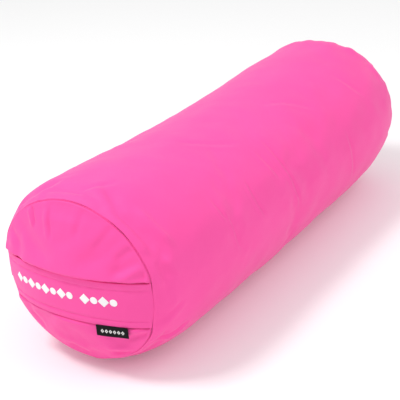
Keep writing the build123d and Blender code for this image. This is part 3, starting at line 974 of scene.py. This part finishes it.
def stitch(start, end, outward):
    """Points and faces of one stitch: a thread that rises from the cloth, lies on it and dips back."""
    sides, stations = 6, 6
    start, end, outward = (np.array(v, float) for v in (start, end, outward))
    along = (end - start) / np.linalg.norm(end - start)
    across = np.cross(along, outward)
    points = []
    for t in np.linspace(0, 1, stations):
        radius = THREAD / 2 * (STITCH_TIP + (1 - STITCH_TIP) * math.sin(math.pi * t) ** 0.5)
        lift = (STITCH_RISE * math.sin(math.pi * t) - STITCH_SINK) * THREAD
        middle = start + (end - start) * t + outward * lift
        for turn in np.linspace(0, 2 * math.pi, sides, endpoint=False):
            height = STITCH_FLATTENED * math.sin(turn)
            points.append(middle + radius * (math.cos(turn) * across + height * outward))
    faces = grid_faces(stations, sides, closed=True)
    faces.append(tuple(range(sides)))
    faces.append(tuple(reversed(range((stations - 1) * sides, stations * sides))))
    return points, faces, [(point[0], point[2]) for point in points]


def stitch_piece(name, lines):
    """A piece of many stitches, one along each (start, end, outward)."""
    piece = join_meshes(name, [stitch(*line) for line in lines])
    tidy_mesh(piece)
    piece.data.materials.append(thread)
    return piece


def row_lines(points, outwards):
    """Stitches from each point of a row towards the next."""
    lines = []
    for start, end, outward in zip(points[:-1], points[1:], outwards):
        start, end = np.array(start), np.array(end)
        lines.append((start, start + (end - start) * STITCH_FILL, outward))
    return lines


def zip_stitching():
    """The topstitching along both sides of the zip's opening."""
    lines = []
    places = np.arange(OPENING_FRONT - ZIP_STITCH_OFFSET, OPENING_REAR + ZIP_STITCH_OFFSET, STITCH_PITCH)
    for side in (-1, 1):
        angle = ZIP_ANGLE + side * ZIP_STITCH_OFFSET / HALF_HEIGHT
        points = body_points(np.full_like(places, angle), places)
        outward = Vector((math.cos(angle) / HALF_WIDTH, 0, math.sin(angle) / HALF_HEIGHT)).normalized()
        lines += row_lines(points, [outward] * len(points))
    return stitch_piece("zip_topstitching", lines)


def seam_thread(name, seam, side):
    """The row of lockstitch through an end seam's turned-in edges."""
    angles = np.linspace(0, 2 * math.pi, SEAM_STITCHES + 1)
    share = 1 - SEAM_THREAD_INSET / SEAM_WIDTH
    x, z = SEAM_WIDTH * share * np.cos(angles), SEAM_HEIGHT * share * np.sin(angles)
    points = np.stack([x, np.full_like(x, seam + side * SEAM_THREAD_PAST), CENTRE_Z + z], axis=-1)
    outwards = -np.stack([np.cos(angles), 0 * angles, np.sin(angles)], axis=-1)
    return stitch_piece(name, row_lines(points, outwards))


for piece, node in ((zip_stitching(), "zip_stitching"),
                    (seam_thread("front_seam_thread", FRONT_SEAM, 1), "front_seam_stitching"),
                    (seam_thread("rear_seam_thread", REAR_SEAM, -1), "rear_seam_stitching")):
    pull_in(piece)
    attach(piece, "cover")
    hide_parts(node)


# ---- handle ----
def strap_end(z):
    """How far across the handle reaches at this height, to the seam."""
    return SEAM_WIDTH * np.sqrt(1 - ((z - CENTRE_Z) / SEAM_HEIGHT) ** 2)


def strap_face(x, z, outward=0.0):
    """The handle's outer face, moved this far outwards."""
    z = np.clip(z, STRAP_BOTTOM, STRAP_TOP)
    edge = np.minimum(STRAP_TOP - z, z - STRAP_BOTTOM)
    row = ROW_DEPTH * np.exp(-(((edge - HEM) / ROW_WIDTH) ** 2))
    pucker = np.sin(x / PUCKER_LENGTHS[0]) * np.sin(x / PUCKER_LENGTHS[1] + PUCKER_SHIFT)
    hem = HEM_PROUD * smooth_step((HEM - edge) / HEM_STEP) - row * (1 + PUCKER * pucker)
    waves = sum(rise * np.sin(x / across + z / up) for rise, across, up in HANDLE_WAVES)
    off_end = smooth_step((1 - np.abs(x) / strap_end(z)) / END_SHARE)
    return dome(x, z, FRONT_TIP, FRONT_SEAM) - (STRAP_OUT + hem + waves) * off_end - outward


def rolled_ends(x, y, reach):
    """The handle's places across, with its ends a little proud of the panel and rolled in at the seam."""
    proud = END_PROUD * (1 - smooth_step((1 - np.abs(x) / reach) / END_SHARE))
    turned = np.clip(1 - (FRONT_SEAM - y) / RIM, 0, 1)
    inward = RIM * (1 - np.sqrt(1 - turned**2))
    return x + np.sign(x) * (proud - inward)


def strap_section():
    """The handle's cross-section as heights and depths behind its face, with rounded edges."""
    half = STRAP_THICKNESS / 2
    heights = spaced(STRAP_BOTTOM + half, STRAP_TOP - half, fine=0.7 * MM, coarse=1.2 * MM, reach=10 * MM)
    turn = np.linspace(0, math.pi, EDGE_POINTS)[1:-1]
    section = [(z, 0.0) for z in heights]
    section += [(STRAP_TOP - half + half * math.sin(t), half - half * math.cos(t)) for t in turn]
    section += [(z, STRAP_THICKNESS) for z in heights[::-1]]
    section += [(STRAP_BOTTOM + half - half * math.sin(t), half + half * math.cos(t)) for t in turn]
    return np.array(section)


def handle_lattice():
    """The handle's points, a row of its section for each place across it, and their normals."""
    section = strap_section()
    last_shares = 1 - LAST_SHARE * np.linspace(1, 0, LAST_ROWS) ** DOME_POWER
    first_shares = spaced(0, COARSE_END, fine=1 / 90, coarse=1 / 80, reach=0.2)
    half_shares = np.concatenate([first_shares, last_shares])
    shares = np.concatenate([-half_shares[:0:-1], half_shares])
    z = np.broadcast_to(section[:, 0], (len(shares), len(section)))
    reach = strap_end(np.clip(z, STRAP_BOTTOM, STRAP_TOP))
    x = shares[:, None] * reach
    face = strap_face(x, z)
    lattice = np.stack([rolled_ends(x, face, reach), face + section[:, 1], z], axis=-1)
    along = np.gradient(lattice, axis=0)
    around = np.roll(lattice, -1, axis=1) - np.roll(lattice, 1, axis=1)
    normals = np.cross(along, around)
    return lattice, normals / np.linalg.norm(normals, axis=-1, keepdims=True)


def handle_halves():
    """The handle's two halves, which meet in its middle with one shading across both."""
    lattice, normals = handle_lattice()
    middle = len(lattice) // 2
    halves = []
    for name, rows in (("handle_left", slice(0, middle + 1)), ("handle_right", slice(middle, None))):
        points = lattice[rows].reshape(-1, 3)
        count, columns = lattice[rows].shape[:2]
        faces = grid_faces(count, columns, closed=True)
        faces.append(tuple(range(columns)))
        faces.append(tuple(reversed(range((count - 1) * columns, count * columns))))
        piece = make_object(name, points, faces, points[:, [0, 2]])
        piece.data.normals_split_custom_set_from_vertices([tuple(n) for n in normals[rows].reshape(-1, 3)])
        piece.data.materials.append(cover_cloth)
        halves.append(piece)
    return halves


def handle_stitching(name, side):
    """Half of the handle's two rows of topstitching."""
    lines = []
    for height in (STRAP_TOP - HEM, STRAP_BOTTOM + HEM):
        x = side * np.arange(ROW_START, float(strap_end(height)) - ROW_STOP, STITCH_PITCH)
        z = np.full_like(x, height)
        points = np.stack([x, strap_face(x, z), z], axis=-1)
        lines += row_lines(points, [(0, -1, 0)] * len(points))
    return stitch_piece(name, lines)


PRINT_SHAPES = 12
PRINT_PITCH = 11 * MM
PRINT_FIRST = -71 * MM
PRINT_HEIGHT = CENTRE_Z - 4.5 * MM
PRINT_DOT = 4.1 * MM
PRINT_LOZENGE = 6.3 * MM  # half its diagonal
SHAPES_BEFORE_SPACE = 8
PRINT_SPACE = 8 * MM
PRINT_OUT = 0.14 * MM  # its face, in front of the handle's
PRINT_THICKNESS = 0.12 * MM


def print_shape(number):
    """Middle, points and faces of one printed shape: a lozenge or a dot, lying on the handle."""
    cells = 10
    side = np.linspace(-1, 1, cells + 1)
    u, v = np.meshgrid(side, side, indexing="ij")
    space = PRINT_SPACE if number >= SHAPES_BEFORE_SPACE else 0
    middle = PRINT_FIRST + number * PRINT_PITCH + space
    if number % 2:
        across, up = (PRINT_DOT * part for part in square_to_disc(u, v))
    else:
        across, up = PRINT_LOZENGE * (u + v) / 2, PRINT_LOZENGE * (v - u) / 2
    x, z = middle + across.ravel(), PRINT_HEIGHT + up.ravel()
    points = np.stack([x, strap_face(x, z, PRINT_OUT), z], axis=-1)
    return middle, (points, grid_faces(cells + 1, cells + 1), points[:, [0, 2]])


def handle_print(name, side):
    """The printed shapes on one half of the handle."""
    shapes = [print_shape(number) for number in range(PRINT_SHAPES)]
    piece = join_meshes(name, [shape for middle, shape in shapes if middle * side > 0])
    add_thickness(piece, PRINT_THICKNESS)
    piece.data.materials.append(print_film)
    return piece


left_half, right_half = handle_halves()
for side, half_name, half_handle in ((-1, "left", left_half), (1, "right", right_half)):
    stitching = handle_stitching("handle_stitching_" + half_name, side)
    printing = handle_print("handle_print_" + half_name, side)
    replaced = {"handle_strap": half_handle, "handle_stitching": stitching, "handle_print": printing}
    for node, piece in replaced.items():
        pull_in(piece)
        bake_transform(piece)
        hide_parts(node)


# ---- label ----
LABEL_GRID = (49, 17)
LABEL_EDGE = 0.07  # share of its height over which its lower edge is rounded
LABEL_BOW = 0.5 * MM  # how far its middle bows out,
LABEL_CURL = (0.35 * MM, 5, 1)  # and how far its lower edge curls, as a wave with this rate and start
LABEL_TUCK = 0.8 * MM  # it reaches this far up behind the hinge
LABEL_OUT = 0.2 * MM


def woven_label():
    """The label: a folded woven tab that hangs from the handle's lower edge and bows a little."""
    hinge = np.array(joints["label_flip"]["pos_m"])
    across = -np.array(joints["label_flip"]["axis"])
    outward = np.cross(across, (0, 0, 1))
    u, v = np.meshgrid(*(np.linspace(0, 1, count) for count in LABEL_GRID), indexing="ij")
    rounding = LABEL_THICKNESS / 2 * smooth_step(1 - (1 - v) / LABEL_EDGE)
    curl, rate, start = LABEL_CURL
    bow = LABEL_BOW * np.sin(math.pi * u) * v + curl * np.sin(rate * u + start) * v - rounding
    points = (
        hinge + across * ((u - 0.5) * LABEL_WIDTH)[..., None]
        + np.array((0, 0, -1)) * (v * LABEL_HEIGHT - LABEL_TUCK * (1 - v))[..., None]
        + outward * (bow + LABEL_OUT)[..., None]
    )
    uvs = np.stack([u * LABEL_WIDTH, (1 - v) * LABEL_HEIGHT], axis=-1).reshape(-1, 2)
    faces = grid_faces(*u.shape)
    piece = make_object("folded_label", points.reshape(-1, 3), faces, uvs)
    if sum(face.normal.y for face in piece.data.polygons) > 0:
        piece.data.flip_normals()
    add_thickness(piece, LABEL_THICKNESS)
    piece.data.materials.append(label_material())
    return piece


label = woven_label()
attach(label, "label")
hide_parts("woven_label")


# ---- stage: floor, light and camera ----
FLOOR_REACH = 6
CAMERA_AZIMUTH = math.radians(33.2)
CAMERA_ELEVATION = math.radians(23.1)
CAMERA_ROLL = math.radians(-4.4)
CAMERA_DISTANCE = 1.336
LIT_PLACE = (0, 0, 0.1)


def make_floor():
    """A plain pale floor."""
    corners = [(-1, -1), (1, -1), (1, 1), (-1, 1)]
    floor = make_object("floor", [(FLOOR_REACH * x, FLOOR_REACH * y, 0) for x, y in corners], [(0, 1, 2, 3)])
    material, _, shader = node_material("floor_white")
    set_inputs(shader, {"Base Color": (0.84, 0.84, 0.84, 1), "Roughness": 0.9})
    set_inputs(shader, {"Emission Color": (1, 1, 1, 1), "Emission Strength": 0.1})
    floor.data.materials.append(material)


def area_light(name, place, size, power):
    """A square soft light at a place, facing the bolster."""
    data = bpy.data.lights.new(name, "AREA")
    data.shape = "SQUARE"
    data.size = size
    data.energy = power
    light = bpy.data.objects.new(name, data)
    bpy.context.scene.collection.objects.link(light)
    light.location = place
    light.rotation_euler = (Vector(LIT_PLACE) - Vector(place)).to_track_quat("-Z", "Y").to_euler()


def make_camera():
    """The camera, to the right of the handle end and above it, aimed at the bolster's middle."""
    level = math.cos(CAMERA_ELEVATION)
    back = Vector((
        math.sin(CAMERA_AZIMUTH) * level, -math.cos(CAMERA_AZIMUTH) * level, math.sin(CAMERA_ELEVATION)
    ))
    data = bpy.data.cameras.new("camera")
    data.lens = 95
    data.sensor_width = 36
    data.shift_x = -0.0688
    data.shift_y = -0.0632
    camera = bpy.data.objects.new("camera", data)
    bpy.context.scene.collection.objects.link(camera)
    facing = (-back).to_track_quat("-Z", "Y").to_matrix().to_4x4()
    place = Matrix.Translation(Vector((0, 0, CENTRE_Z)) + back * CAMERA_DISTANCE)
    camera.matrix_world = place @ facing @ Matrix.Rotation(CAMERA_ROLL, 4, "Z")
    bpy.context.scene.camera = camera


def make_sky(strength):
    """Even white light from all round."""
    world = bpy.data.worlds.new("studio")
    world.use_nodes = True
    set_inputs(world.node_tree.nodes["Background"], {"Color": (1, 1, 1, 1), "Strength": strength})
    bpy.context.scene.world = world


make_floor()
make_sky(strength=0.76)
area_light("key", place=(-0.7, -0.9, 2.1), size=0.6, power=26)
area_light("fill", place=(1.6, 0.2, 1.8), size=1.2, power=8)
make_camera()
bpy.context.scene.view_settings.view_transform = "Standard"
